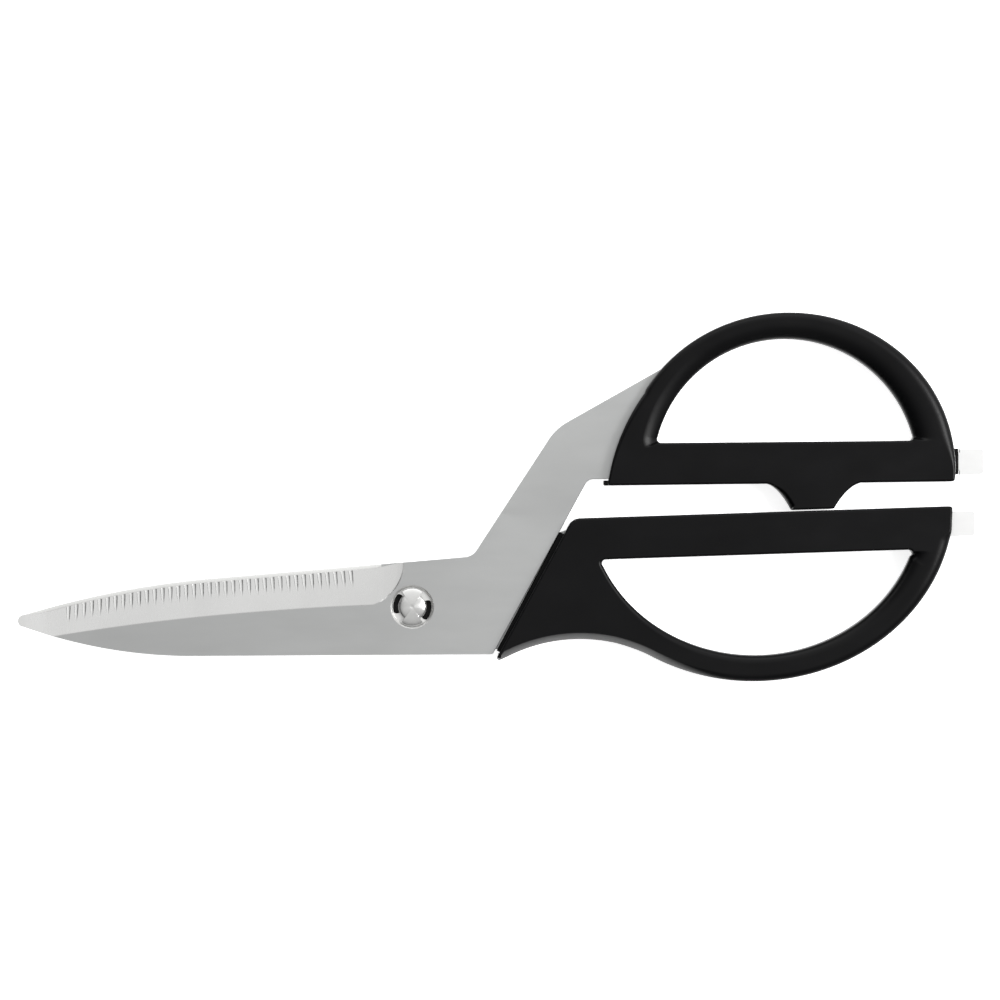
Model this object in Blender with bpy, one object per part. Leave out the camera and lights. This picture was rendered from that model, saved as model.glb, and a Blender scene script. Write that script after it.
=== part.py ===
"""Take-apart poultry shears, closed and lying flat on their back faces.

Lengths are in millimetres until mesh_object scales them to metres. +Z is the pivot
axis, +X runs from the pivot to the finger loops and +Y towards the upper loop. The
origin is on the pivot axis, at the plane that the shears rest on.
"""

import math

import bmesh
import bpy
from mathutils import Vector
from mathutils.geometry import tessellate_polygon

MM = 0.001
GAP = 0.3  # left between pieces that touch

# Layers along the pivot axis.
HANDLE_THICK = 10.0
BLADE_THICK = 2.5
BACK_BLADE_Z = 1.5
FRONT_BLADE_Z = BACK_BLADE_Z + BLADE_THICK + GAP

# Blade silhouette: two straight flanks that bend towards the tip.
SPINE_AT_PIVOT = 11.76
SPINE_SLOPE = 0.0853
SPINE_BEND_X = -52.0
SPINE_BEND_R = 225.0
BELLY_AT_PIVOT = -12.42
BELLY_SLOPE = 0.0057
BELLY_BEND_X = -56.5
BELLY_BEND_R = 125.0
TIP_CENTRE = (-100.65, -3.7)
TIP_R = 1.55
EDGE_SETBACK = 1.0  # how far a cutting edge stops short of the other blade's spine
HEEL_X = -2.3
HEEL_FADE = 8.0  # over this length the edge rises to the spine at the heel

# Ground bevel, its run-out, and the serration on the front blade.
GRIND_AT_PIVOT = 1.95
GRIND_SLOPE = 0.075
GRIND_BEND_X = (-40.0, -33.0)
GRIND_BEND_R = 580.0
EDGE_LAND = 0.45
GRIND_LIP = 0.03
RUN_OUT_CENTRE = (-14.32, 12.05)
RUN_OUT_R = 12.07
SERRATIONS = 37
SERRATION_FIRST_X = -89.1
SERRATION_PITCH = 2.03
SERRATION_LENGTH = 3.4
SERRATION_WIDTH = 0.95
SERRATION_DEPTH = 0.3

# Pivot: a winged stud riveted through the back blade, and the keyway it locks in.
STUD_R = 3.4
STUD_RUNNING_GAP = 0.08
WING_R = 4.8
WING_CENTRES = (90.0, 270.0)
WING_HALF = 35.0
HEAD_TOP_Z = 7.1
HEAD_THICK = 1.0
REAR_HEAD_R = 5.0
KEYWAY_R = 5.0
KEYWAY_CENTRES = (168.0, 348.0)
KEYWAY_HALF = 34.0
HEAD_RECESS_R = 5.4
HEAD_RECESS_DEPTH = 1.0
WASHER_R = 6.0
WASHER_THICK = 0.6

# Shank edges, as lines at a distance from the pivot axis.
SHANK_EDGE_ANGLE = -28.5
SHANK_EDGE_R = 24.15
LEDGE_ANGLE = -27.9
LEDGE_R = 24.6
LEDGE_WIDTH = 0.9

# Tangs that run through the straight bars and stand out of their ends.
UPPER_TANG_START = (45.5, 33.05)
UPPER_TANG_SLOPE = 0.0122
UPPER_TANG_HIGH = 6.7
UPPER_TIP_X = 147.9
UPPER_NECK_X = (138.7, 141.6)
UPPER_NECK_DEPTH = 1.0
LOWER_TANG_AT_53 = 15.4
LOWER_TANG_SLOPE = 0.0324
LOWER_TANG_HIGH = 6.45
LOWER_TIP_X = 145.9

# Upper finger loop.
UPPER_ARC_CENTRE = (97.57, 36.10)
UPPER_ARC_R = (42.9, 40.1)
UPPER_CHEEK_CENTRE = (102.81, 24.39)
UPPER_CHEEK_R = 52.71
UPPER_HOLE_CENTRE = (96.55, 35.13)
UPPER_HOLE_R = 34.21
UPPER_BAR_LEFT = (50.57, 31.38)
UPPER_BAR_RIGHT = (140.35, 32.45)
UPPER_HOLE_LEFT = (63.13, 42.41)
UPPER_HOLE_RIGHT = (129.84, 43.01)

# Lower finger loop.
LOWER_ARC_CENTRE = (88.23, 27.12)
LOWER_ARC_R = (51.9, 46.35)
LOWER_HOLE_CENTRE = (88.53, 26.36)
LOWER_HOLE_R = (42.86, 38.84)
LOWER_HOLE_LEFT = (48.55, 12.23)
LOWER_HOLE_RIGHT = (129.81, 14.85)
LOWER_WAIST_CENTRE = (43.53, -49.92)
LOWER_WAIST_R = 41.55
LOWER_BAR_LEFT = (41.6, 22.9)
LOWER_BAR_RIGHT = (139.75, 26.09)
LOWER_TOE = (21.15, -14.5)

# Rounding of the loops: width along the face, then depth, in millimetres.
BAR_EDGE = (0.6, 0.6)
ARC_OUTER_EDGE = (1.8, 1.4)
ARC_END_EDGE = (5.8, 3.3)
ARC_CROWN_EDGE = (4.2, 3.0)
CHEEK_EDGE = (3.6, 2.6)
EDGE_STEPS = 3


def polar(centre, radii, degrees):
    """Point of a circle (one radius) or an axis-aligned ellipse (two radii)."""
    across, up = radii if isinstance(radii, tuple) else (radii, radii)
    angle = math.radians(degrees)
    return (centre[0] + across * math.cos(angle), centre[1] + up * math.sin(angle))


def arc(centre, radii, start, end, count):
    """Points of an arc from start to end degrees, without the last one."""
    return [polar(centre, radii, start + (end - start) * i / count) for i in range(count)]


def line(start, end, count):
    """Points from start to end, without the last one."""
    return [tuple(Vector(start).lerp(Vector(end), i / count)) for i in range(count)]


def bezier(start, control, end, count):
    """Points of a quadratic curve, without the last one."""
    a, b, c = Vector(start), Vector(control), Vector(end)
    steps = [i / count for i in range(count)]
    return [tuple(a.lerp(b, t).lerp(b.lerp(c, t), t)) for t in steps]


def round_corner(before, corner, after, radius, count):
    """Fillet of a corner: count points, both tangent points included."""
    here = Vector(corner)
    to_before = (Vector(before) - here).normalized()
    to_after = (Vector(after) - here).normalized()
    half = to_before.angle(to_after) / 2
    centre = here + (to_before + to_after).normalized() * radius / math.sin(half)
    first = here + to_before * radius / math.tan(half) - centre
    last = here + to_after * radius / math.tan(half) - centre
    turn = first.angle_signed(last)
    points = []
    for i in range(count):
        angle = -turn * i / (count - 1)
        spun = Vector(
            (
                first.x * math.cos(angle) - first.y * math.sin(angle),
                first.x * math.sin(angle) + first.y * math.cos(angle),
            )
        )
        points.append(tuple(centre + spun))
    return points


def rounded(corners, count=4):
    """Closed outline through (x, y, radius) corners, sharp where the radius is 0."""
    points = []
    for i, (x, y, radius) in enumerate(corners):
        before = corners[i - 1][:2]
        after = corners[(i + 1) % len(corners)][:2]
        if radius:
            points += round_corner(before, (x, y), after, radius, count)
        else:
            points.append((x, y))
    return points


def offset(outline, distances):
    """Move each point of a closed outline inwards, to its left as the outline runs."""
    moved = []
    for i, point in enumerate(outline):
        here = Vector(point)
        back = (here - Vector(outline[i - 1])).normalized()
        ahead = (Vector(outline[(i + 1) % len(outline)]) - here).normalized()
        mitre = Vector((-(back.y + ahead.y), back.x + ahead.x))
        mitre /= max(mitre.length_squared / 2, 0.5)
        moved.append(tuple(here + mitre * distances[i]))
    return moved


def spine_y(x):
    bend = max(0.0, SPINE_BEND_X - x)
    return SPINE_AT_PIVOT + SPINE_SLOPE * x - bend**2 / (2 * SPINE_BEND_R)


def belly_y(x):
    bend = max(0.0, BELLY_BEND_X - x)
    return BELLY_AT_PIVOT + BELLY_SLOPE * x + bend**2 / (2 * BELLY_BEND_R)


def setback(x):
    """The cutting edge's distance from the silhouette, fading out at the tip and the heel."""
    share = min((x - TIP_CENTRE[0]) / 5.0, (HEEL_X - x) / HEEL_FADE, 1.0)
    return EDGE_SETBACK * max(0.0, share)


def front_edge_y(x):
    return spine_y(x) - setback(x)


def back_edge_y(x):
    return belly_y(x) + setback(x)


def grind_width(x):
    """Width of the ground bevel, from the cutting edge to the grind line."""
    bend = max(0.0, GRIND_BEND_X[0] - x, x - GRIND_BEND_X[1])
    grind_y = GRIND_AT_PIVOT + GRIND_SLOPE * x - bend**2 / (2 * GRIND_BEND_R)
    return front_edge_y(x) - grind_y


def run_out_width(x):
    """Distance from the cutting edge to the round end of the bevel."""
    across = x - RUN_OUT_CENTRE[0]
    if across <= 0:
        return RUN_OUT_R
    return front_edge_y(x) - RUN_OUT_CENTRE[1] + math.sqrt(max(0.0, RUN_OUT_R**2 - across**2))


def material(name, colour, roughness, metallic):
    made = bpy.data.materials.new(name)
    made.use_nodes = True
    shader = made.node_tree.nodes["Principled BSDF"]
    shader.inputs["Base Color"].default_value = (*colour, 1.0)
    shader.inputs["Roughness"].default_value = roughness
    shader.inputs["Metallic"].default_value = metallic
    return made


def mesh_object(name, points, faces, finish=None, smooth=False):
    """Object from points in millimetres, its faces turned to point out."""
    body = bmesh.new()
    corners = [body.verts.new(Vector(point) * MM) for point in points]
    for face in faces:
        body.faces.new([corners[i] for i in face])
    bmesh.ops.remove_doubles(body, verts=body.verts, dist=0.001 * MM)
    bmesh.ops.recalc_face_normals(body, faces=body.faces)
    mesh = bpy.data.meshes.new(name)
    body.to_mesh(mesh)
    body.free()
    if smooth:
        mesh.shade_smooth()
        mesh.set_sharp_from_angle(angle=math.radians(35))
    made = bpy.data.objects.new(name, mesh)
    bpy.context.collection.objects.link(made)
    if finish:
        mesh.materials.append(finish)
    return made


def stack(name, loops, finish=None, smooth=False):
    """Closed body from loops of equal length, one above the other, capped at both ends."""
    size = len(loops[0])
    points = [point for loop in loops for point in loop]
    faces = [list(range(size))[::-1]]
    for level in range(len(loops) - 1):
        for i in range(size):
            j = (i + 1) % size
            low = level * size
            high = low + size
            faces.append([low + i, low + j, high + j, high + i])
    top = (len(loops) - 1) * size
    faces.append(list(range(top, top + size)))
    return mesh_object(name, points, faces, finish, smooth)


def ring(name, loops, finish):
    """Closed body from loops that go once round a hole and join up."""
    size = len(loops[0])
    points = [point for loop in loops for point in loop]
    faces = []
    for level in range(len(loops)):
        low = level * size
        high = (level + 1) % len(loops) * size
        for i in range(size):
            j = (i + 1) % size
            faces.append([low + i, low + j, high + j, high + i])
    return mesh_object(name, points, faces, finish, smooth=True)


def prism(name, outline, low, high, finish=None):
    return stack(name, [[(x, y, z) for x, y in outline] for z in (low, high)], finish)


def boolean(target, tool, operation):
    """Boolean modifier whose tool stays in the file as a wire guide."""
    tool.hide_render = True
    tool.display_type = "WIRE"
    step = target.modifiers.new(tool.name, "BOOLEAN")
    step.operation = operation
    step.solver = "EXACT"
    step.object = tool


def radial_loop(radius_at, z, step=6):
    """Loop round the pivot axis, with close pairs of points where the radius jumps."""
    angles = set(range(0, 360, step))
    for centres, half in ((WING_CENTRES, WING_HALF), (KEYWAY_CENTRES, KEYWAY_HALF)):
        for centre in centres:
            for side in (-1, 1):
                limit = centre + side * half
                angles |= {limit % 360, (limit + side) % 360}
    return [(*polar((0, 0), radius_at(angle), angle), z) for angle in sorted(angles)]


def sector_radius(inner, outer, centres, half):
    """Radius function: outer within half degrees of a centre, inner elsewhere."""

    def radius_at(angle):
        gaps = [abs((angle - centre + 180) % 360 - 180) for centre in centres]
        return outer if min(gaps) <= half else inner

    return radius_at


def circle_radius(radius):
    return lambda angle: radius


def pivot_stud(finish):
    """Rear rivet head, shaft, and the two-winged head with its centre mark."""
    under_head = HEAD_TOP_Z - HEAD_THICK
    shaft = circle_radius(STUD_R)
    winged = sector_radius(STUD_R, WING_R, WING_CENTRES, WING_HALF)
    chamfered = sector_radius(STUD_R - 0.25, WING_R - 0.25, WING_CENTRES, WING_HALF)
    rear_top = BACK_BLADE_Z - GAP
    levels = (
        (circle_radius(REAR_HEAD_R - 0.4), 0.0),
        (circle_radius(REAR_HEAD_R), 0.3),
        (circle_radius(REAR_HEAD_R), rear_top),
        (shaft, rear_top),
        (shaft, under_head),
        (winged, under_head),
        (winged, HEAD_TOP_Z - 0.2),
        (chamfered, HEAD_TOP_Z),
        (circle_radius(0.45), HEAD_TOP_Z),
        (circle_radius(0.1), HEAD_TOP_Z - 0.3),
    )
    loops = [radial_loop(radius, z) for radius, z in levels]
    return stack("pivot_stud", loops, finish, smooth=True)


def pivot_washer(finish):
    """Nylon washer that keeps the two blades from scraping round the stud."""
    top = BACK_BLADE_Z + BLADE_THICK
    inner = circle_radius(STUD_R + GAP)
    outer = circle_radius(WASHER_R)
    levels = (
        (inner, top - WASHER_THICK),
        (outer, top - WASHER_THICK),
        (outer, top),
        (inner, top),
    )
    return ring("pivot_washer", [radial_loop(radius, z) for radius, z in levels], finish)


def keyway_cutter():
    """The front blade's bore, with two notches for the wings and a recess for the head."""
    face = FRONT_BLADE_Z + BLADE_THICK
    floor = face - HEAD_RECESS_DEPTH
    bore_r = STUD_R + STUD_RUNNING_GAP
    keyway = sector_radius(bore_r, KEYWAY_R, KEYWAY_CENTRES, KEYWAY_HALF)
    levels = (
        (keyway, FRONT_BLADE_Z - 1),
        (keyway, floor),
        (circle_radius(HEAD_RECESS_R), floor),
        (circle_radius(HEAD_RECESS_R), face + 1),
    )
    return stack("keyway_cut", [radial_loop(radius, z) for radius, z in levels])


def stud_seat_cutter():
    """The back blade's rivet hole, and the recess that holds the washer."""
    face = BACK_BLADE_Z + BLADE_THICK
    floor = face - WASHER_THICK - GAP
    hole = circle_radius(STUD_R + GAP)
    recess = circle_radius(WASHER_R + GAP)
    levels = (
        (hole, BACK_BLADE_Z - 1),
        (hole, floor),
        (recess, floor),
        (recess, face + 1),
    )
    return stack("stud_seat_cut", [radial_loop(radius, z) for radius, z in levels])


def grind_stations():
    """Places along the blade: even up to the run-out, then closing up round it."""
    straight = [-106.0 + 3.8 * i for i in range(25)]
    turned = [
        RUN_OUT_CENTRE[0] + RUN_OUT_R * math.sin(math.radians(angle))
        for angle in range(8, 87, 6)
    ]
    return straight + turned


def grind_cutter(name, edge_y, side, face, edge_z):
    """Solid that takes the bevel off one face, down to the land at the cutting edge."""
    loops = []
    lift = math.copysign(1.0, face - edge_z)
    for x in grind_stations():
        full = grind_width(x)
        width = min(full, run_out_width(x))
        slope = (edge_z - face) / full
        wall_z = face + slope * (full - width) - lift * GRIND_LIP
        outside = 2.0
        wall_y = edge_y(x) - side * width
        far_y = edge_y(x) + side * outside
        far_z = face + slope * (full + outside)
        loops.append(
            [
                (x, wall_y, face + lift),
                (x, wall_y, wall_z),
                (x, far_y, far_z),
                (x, far_y, face + lift),
            ]
        )
    return stack(name, loops)


def serration_cutter():
    """Short grooves down the bevel from the cutting edge, deepest at the edge."""
    face = FRONT_BLADE_Z + BLADE_THICK
    points = []
    faces = []
    for i in range(SERRATIONS):
        x = SERRATION_FIRST_X + SERRATION_PITCH * i
        slope = (FRONT_BLADE_Z + EDGE_LAND - face) / grind_width(x)
        edge = front_edge_y(x)
        first = len(points)
        for along, half, depth in ((0.6, 0.5, 1.0), (-SERRATION_LENGTH, 0.2, 0.1)):
            y = edge + along
            z = face + slope * (grind_width(x) + along)
            half_width = half * SERRATION_WIDTH
            points += [
                (x - half_width, y, z + 0.06),
                (x + half_width, y, z + 0.06),
                (x + 0.15 * half_width, y, z - depth * SERRATION_DEPTH),
                (x - 0.15 * half_width, y, z - depth * SERRATION_DEPTH),
            ]
        faces.append([first + k for k in (0, 1, 2, 3)])
        faces.append([first + k for k in (7, 6, 5, 4)])
        for k in range(4):
            n = (k + 1) % 4
            faces.append([first + k, first + 4 + k, first + 4 + n, first + n])
    return mesh_object("serration_cut", points, faces)


def tip_points(low_y, high_y, count=7):
    """Round end of a blade, from its upper flank over the tip to its lower flank."""
    x = TIP_CENTRE[0]
    centre_y = (low_y(x) + high_y(x)) / 2
    radius_y = (high_y(x) - low_y(x)) / 2
    return arc((x, centre_y), (TIP_R, radius_y), 90, 270, count)


def flank(height, start, end, count):
    """Points of a blade flank between two places along the blade."""
    return [(x, height(x)) for x, _ in line((start, 0), (end, 0), count)]


def shank_edge_point(y):
    """Place on the shank's straight right-hand edge at a given height."""
    angle = math.radians(SHANK_EDGE_ANGLE)
    return ((SHANK_EDGE_R - y * math.sin(angle)) / math.cos(angle), y)


def upper_tang_y(x):
    return UPPER_TANG_START[1] + UPPER_TANG_SLOPE * (x - UPPER_TANG_START[0])


def lower_tang_y(x):
    return LOWER_TANG_AT_53 + LOWER_TANG_SLOPE * (x - 53.7)


def tang_tip(low_y, high, tip_x):
    """Blunt end of a tang with chamfered corners, from its lower to its upper edge."""
    chamfer = 0.5
    return [
        (tip_x - chamfer, low_y(tip_x)),
        (tip_x, low_y(tip_x) + chamfer),
        (tip_x, low_y(tip_x) + high - chamfer),
        (tip_x - chamfer, low_y(tip_x) + high),
    ]


def tang_neck(edge_y):
    """Notch in one tang edge that lets the collar close round the steel."""
    start, end = UPPER_NECK_X
    return [
        (start, edge_y(start)),
        (start, edge_y(start) + UPPER_NECK_DEPTH),
        (end, edge_y(end) + UPPER_NECK_DEPTH),
        (end, edge_y(end)),
    ]


def front_blade_outline():
    """Blade, shank and tang of the front half, counter-clockwise."""
    corner_low = shank_edge_point(belly_y(20.8))
    corner_high = (UPPER_TANG_START[0], UPPER_TANG_START[1])
    points = tip_points(belly_y, front_edge_y)
    points += flank(belly_y, TIP_CENTRE[0], BELLY_BEND_X, 12)
    points += [(BELLY_BEND_X, belly_y(BELLY_BEND_X))]
    points += round_corner((0, belly_y(0)), corner_low, corner_high, 0.8, 4)
    points += round_corner(corner_low, corner_high, (60, upper_tang_y(60)), 2.3, 5)
    points += tang_neck(upper_tang_y)
    points += tang_tip(upper_tang_y, UPPER_TANG_HIGH, UPPER_TIP_X)
    for x, y in reversed(tang_neck(upper_tang_y)):
        points.append((x, 2 * upper_tang_y(x) + UPPER_TANG_HIGH - y))
    inner_r = UPPER_HOLE_R + 3.0
    points += [(60.6, upper_tang_y(60.6) + UPPER_TANG_HIGH)]
    points += arc(UPPER_HOLE_CENTRE, inner_r, 168, 142, 6)
    points += [(66.4, 58.6), (64.3, 61.5)]
    points += round_corner((63.04, 60.79), (37.16, 46.18), (17.5, 16.0), 14.0, 5)
    points += round_corner((34.5, 42.1), (15.6, 13.09), (0.0, spine_y(0)), 4.0, 6)
    points += flank(front_edge_y, HEEL_X, TIP_CENTRE[0], 24)
    return points


def back_blade_outline():
    """Blade and tang of the back half, counter-clockwise."""
    points = tip_points(back_edge_y, spine_y)
    points += flank(back_edge_y, TIP_CENTRE[0], HEEL_X, 20)
    points += [(HEEL_X, back_edge_y(HEEL_X)), (19.4, -11.4), (22.4, -10.9)]
    points += [(30.5, -6.2), (41.5, 7.0), (48.0, lower_tang_y(48.0))]
    points += tang_tip(lower_tang_y, LOWER_TANG_HIGH, LOWER_TIP_X)
    points += [(50.0, lower_tang_y(50.0) + LOWER_TANG_HIGH), (41.0, 20.3)]
    points += [(13.5, 11.2), (HEEL_X + 1.5, spine_y(HEEL_X) - 1.0)]
    points += flank(spine_y, HEEL_X - 1.0, TIP_CENTRE[0], 20)
    return points


def front_blade(finish):
    face = FRONT_BLADE_Z + BLADE_THICK
    blade = prism("front_blade", front_blade_outline(), FRONT_BLADE_Z, face, finish)
    edge_z = FRONT_BLADE_Z + EDGE_LAND
    boolean(blade, grind_cutter("front_grind_cut", front_edge_y, 1, face, edge_z), "DIFFERENCE")
    boolean(blade, serration_cutter(), "DIFFERENCE")
    boolean(blade, keyway_cutter(), "DIFFERENCE")
    return blade


def back_blade(finish):
    face = BACK_BLADE_Z + BLADE_THICK
    blade = prism("back_blade", back_blade_outline(), BACK_BLADE_Z, face, finish)
    edge_z = face - EDGE_LAND
    cutter = grind_cutter("back_grind_cut", back_edge_y, -1, BACK_BLADE_Z, edge_z)
    boolean(blade, cutter, "DIFFERENCE")
    boolean(blade, stud_seat_cutter(), "DIFFERENCE")
    return blade


def rounding_levels(outline, sign):
    """Loops of a rounded border, from the front flat down to the back flat.

    The outline holds (point, edge) pairs, where an edge is a width and a depth. The
    sign is 1 where the material is on the left of the outline, and -1 on its right.
    """
    points = [point for point, _ in outline]
    levels = []
    for front, steps in ((True, range(EDGE_STEPS, -1, -1)), (False, range(EDGE_STEPS + 1))):
        for step in steps:
            angle = math.pi / 2 * step / EDGE_STEPS
            shifts = [sign * edge[0] * (1 - math.cos(angle)) for _, edge in outline]
            level = []
            for (x, y), (_, edge) in zip(offset(points, shifts), outline, strict=True):
                drop = edge[1] * (1 - math.sin(angle))
                level.append((x, y, HANDLE_THICK - drop if front else drop))
            levels.append(level)
    return levels


def loop_body(name, outer, inner, finish):
    """Plastic finger loop with flat faces and rounded borders."""
    points = []
    faces = []
    rims = []
    for outline, sign in ((outer, 1), (inner, -1)):
        size = len(outline)
        first = len(points)
        levels = rounding_levels(outline, sign)
        for level in levels:
            points += level
        for start in range(first, len(points) - size, size):
            for i in range(size):
                j = (i + 1) % size
                faces.append([start + i, start + j, start + size + j, start + size + i])
        rims.append((first, len(points) - size, size))
    for end in (0, 1):
        border = [range(rim[end], rim[end] + rim[2]) for rim in rims]
        corners = [i for side in border for i in side]
        flat = tessellate_polygon([[Vector(points[i]) for i in side] for side in border])
        faces += [[corners[i] for i in face] for face in flat]
    return mesh_object(name, points, faces, finish, smooth=True)


def edged(points, start, end=None):
    """Pairs of each point and its edge, which changes from start towards end."""
    end = end or start
    pairs = []
    for i, point in enumerate(points):
        share = i / len(points)
        pairs.append((point, tuple(a + (b - a) * share for a, b in zip(start, end))))
    return pairs


def bumper_outline():
    """Stop under the upper bar: two hollow flanks and a flat foot on the lower bar."""
    foot_left = (98.1, 25.05)
    foot_right = (109.0, 25.4)
    left_top = (91.8, 31.86)
    right_top = (116.0, 32.15)
    left_control = (94.6, 31.4)
    right_control = (112.5, 31.4)
    return (
        bezier(left_top, left_control, foot_left, 6)[:-1]
        + round_corner(left_control, foot_left, foot_right, 0.8, 4)
        + round_corner(foot_left, foot_right, right_control, 0.8, 4)
        + bezier(foot_right, right_control, right_top, 6)[2:]
        + [right_top]
    )


def upper_outline():
    """Outer border of the upper loop, counter-clockwise from the end of its arc."""
    crown = arc(UPPER_ARC_CENTRE, UPPER_ARC_R, 14, 151.3, 30)
    cheek = arc(UPPER_CHEEK_CENTRE, UPPER_CHEEK_R, 144.1, 171.6, 8)
    foot = round_corner((UPPER_BAR_LEFT[0], 36), UPPER_BAR_LEFT, UPPER_BAR_RIGHT, 0.7, 3)
    toe = round_corner(UPPER_BAR_LEFT, UPPER_BAR_RIGHT, (140.26, 36.1), 0.8, 4)
    end = arc(UPPER_ARC_CENTRE, UPPER_ARC_R, -3.0, 14, 4)
    outline = edged(crown, ARC_OUTER_EDGE)
    outline += edged(cheek, ARC_OUTER_EDGE, BAR_EDGE)
    outline += edged(foot + bumper_outline() + toe, BAR_EDGE)
    outline += edged(end, BAR_EDGE, ARC_OUTER_EDGE)
    return outline


def upper_hole():
    """Border of the upper loop's hole, counter-clockwise from the end of its arc."""
    right = arc(UPPER_HOLE_CENTRE, UPPER_HOLE_R, 16, 88, 15)
    left = arc(UPPER_HOLE_CENTRE, UPPER_HOLE_R, 88, 165.8, 15)
    left_tangent = polar(UPPER_HOLE_LEFT, 10, 77.7)
    right_tangent = polar(UPPER_HOLE_RIGHT, 10, 103.3)
    heel = round_corner(left_tangent, UPPER_HOLE_LEFT, UPPER_HOLE_RIGHT, 1.0, 5)
    toe = round_corner(UPPER_HOLE_LEFT, UPPER_HOLE_RIGHT, right_tangent, 1.0, 5)
    outline = edged(right, ARC_END_EDGE, ARC_CROWN_EDGE)
    outline += edged(left, ARC_CROWN_EDGE, CHEEK_EDGE)
    outline += edged(heel, CHEEK_EDGE, BAR_EDGE)
    outline += edged(toe, BAR_EDGE, ARC_END_EDGE)
    return outline


def lower_outline():
    """Outer border of the lower loop, clockwise from the right-hand end of its arc."""
    crown = arc(LOWER_ARC_CENTRE, LOWER_ARC_R, -13, -121, 24)
    waist_start = polar(LOWER_ARC_CENTRE, LOWER_ARC_R, -121)
    waist_end = polar(LOWER_WAIST_CENTRE, LOWER_WAIST_R, 77)
    waist = bezier(waist_start, (57.9, -10.8), waist_end, 4)
    waist += arc(LOWER_WAIST_CENTRE, LOWER_WAIST_R, 77, 119, 9)
    side_low = ledge_point(LEDGE_R + LEDGE_WIDTH, 1.5)
    side_high = ledge_point(LEDGE_R + LEDGE_WIDTH, 33)
    toe = round_corner((27.3, -11.65), LOWER_TOE, side_low, 0.6, 4)
    shoulder = round_corner(side_high, LOWER_BAR_LEFT, LOWER_BAR_RIGHT, 3.5, 5)
    corner = round_corner(LOWER_BAR_LEFT, LOWER_BAR_RIGHT, (139.6, 20.0), 0.7, 3)
    end = arc(LOWER_ARC_CENTRE, LOWER_ARC_R, -9, -13, 2)
    outline = edged(crown, ARC_OUTER_EDGE)
    outline += edged(waist, ARC_OUTER_EDGE, BAR_EDGE)
    outline += edged(toe + shoulder + corner, BAR_EDGE)
    outline += edged(end, BAR_EDGE, ARC_OUTER_EDGE)
    return outline[::-1]


def lower_hole():
    """Border of the lower loop's hole, clockwise from the right-hand end of its arc."""
    right = arc(LOWER_HOLE_CENTRE, LOWER_HOLE_R, -20, -85, 15)
    left = arc(LOWER_HOLE_CENTRE, LOWER_HOLE_R, -85, -157.6, 17)
    left_tangent = polar(LOWER_HOLE_LEFT, 10, -66)
    right_tangent = polar(LOWER_HOLE_RIGHT, 10, -109)
    heel = round_corner(left_tangent, LOWER_HOLE_LEFT, LOWER_HOLE_RIGHT, 1.0, 5)
    toe = round_corner(LOWER_HOLE_LEFT, LOWER_HOLE_RIGHT, right_tangent, 1.0, 5)
    outline = edged(right, ARC_END_EDGE, ARC_CROWN_EDGE)
    outline += edged(left, ARC_CROWN_EDGE, CHEEK_EDGE)
    outline += edged(heel, CHEEK_EDGE, BAR_EDGE)
    outline += edged(toe, BAR_EDGE, ARC_END_EDGE)
    return outline[::-1]


def ledge_point(distance, along):
    """Place at a distance from the pivot axis, along the lower loop's left edge."""
    angle = math.radians(LEDGE_ANGLE)
    x = distance * math.cos(angle) - along * math.sin(angle)
    return (x, distance * math.sin(angle) + along * math.cos(angle))


def tang_slot(name, outline, low):
    """Room for a blade's tang, GAP wider than the steel all round."""
    wide = offset(outline, [-GAP] * len(outline))
    return prism(name, wide, low - GAP, low + BLADE_THICK + GAP)


def upper_handle(finish):
    handle = loop_body("upper_handle", upper_outline(), upper_hole(), finish)
    low = FRONT_BLADE_Z - GAP - 0.9
    high = FRONT_BLADE_Z + BLADE_THICK + GAP + 0.9
    collar = rounded([(138.0, 34.3, 0), (141.3, 34.3, 0.3), (141.3, 41.0, 0.3), (138.0, 41.0, 0)])
    foot = rounded([(49.5, 31.35, 0.4), (52.0, 31.45, 0), (52.0, 32.7, 0), (49.5, 32.7, 0.2)])
    boolean(handle, prism("collar_join", collar, low, high), "UNION")
    boolean(handle, prism("foot_join", foot, 0.6, high), "UNION")
    boolean(handle, tang_slot("upper_slot_cut", front_blade_outline(), FRONT_BLADE_Z), "DIFFERENCE")
    return handle


def lower_handle(finish):
    handle = loop_body("lower_handle", lower_outline(), lower_hole(), finish)
    ledge = [
        ledge_point(LEDGE_R, 0.2),
        ledge_point(LEDGE_R + 2.5, 0.2),
        ledge_point(LEDGE_R + 2.5, 35.0),
        ledge_point(LEDGE_R, 35.0),
    ]
    low = BACK_BLADE_Z + BLADE_THICK + GAP - 0.1
    boolean(handle, prism("ledge_join", ledge, low, low + 1.0), "UNION")
    boolean(handle, tang_slot("lower_slot_cut", back_blade_outline(), BACK_BLADE_Z), "DIFFERENCE")
    return handle


def build():
    for old in list(bpy.data.objects):
        bpy.data.objects.remove(old)
    blade_steel = material("blade_steel", (0.56, 0.56, 0.55), 0.32, 1.0)
    stud_steel = material("stud_steel", (0.72, 0.72, 0.71), 0.22, 1.0)
    black_plastic = material("black_plastic", (0.014, 0.014, 0.015), 0.42, 0.0)
    black_nylon = material("black_nylon", (0.01, 0.01, 0.01), 0.6, 0.0)

    front_half = bpy.data.objects.new("front_half", None)
    bpy.context.collection.objects.link(front_half)
    for piece in (front_blade(blade_steel), upper_handle(black_plastic)):
        piece.parent = front_half
    back_blade(blade_steel)
    lower_handle(black_plastic)
    pivot_stud(stud_steel)
    pivot_washer(black_nylon)


build()
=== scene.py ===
"""Looks of the poultry shears: satin steel blades, a turned pivot stud and black plastic loops.

Lengths are in millimetres until mesh_object scales them to metres. The frame is the
CAD's: +Z is the pivot axis, +X runs to the finger loops and +Y towards the upper loop.
"""

import math

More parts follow.
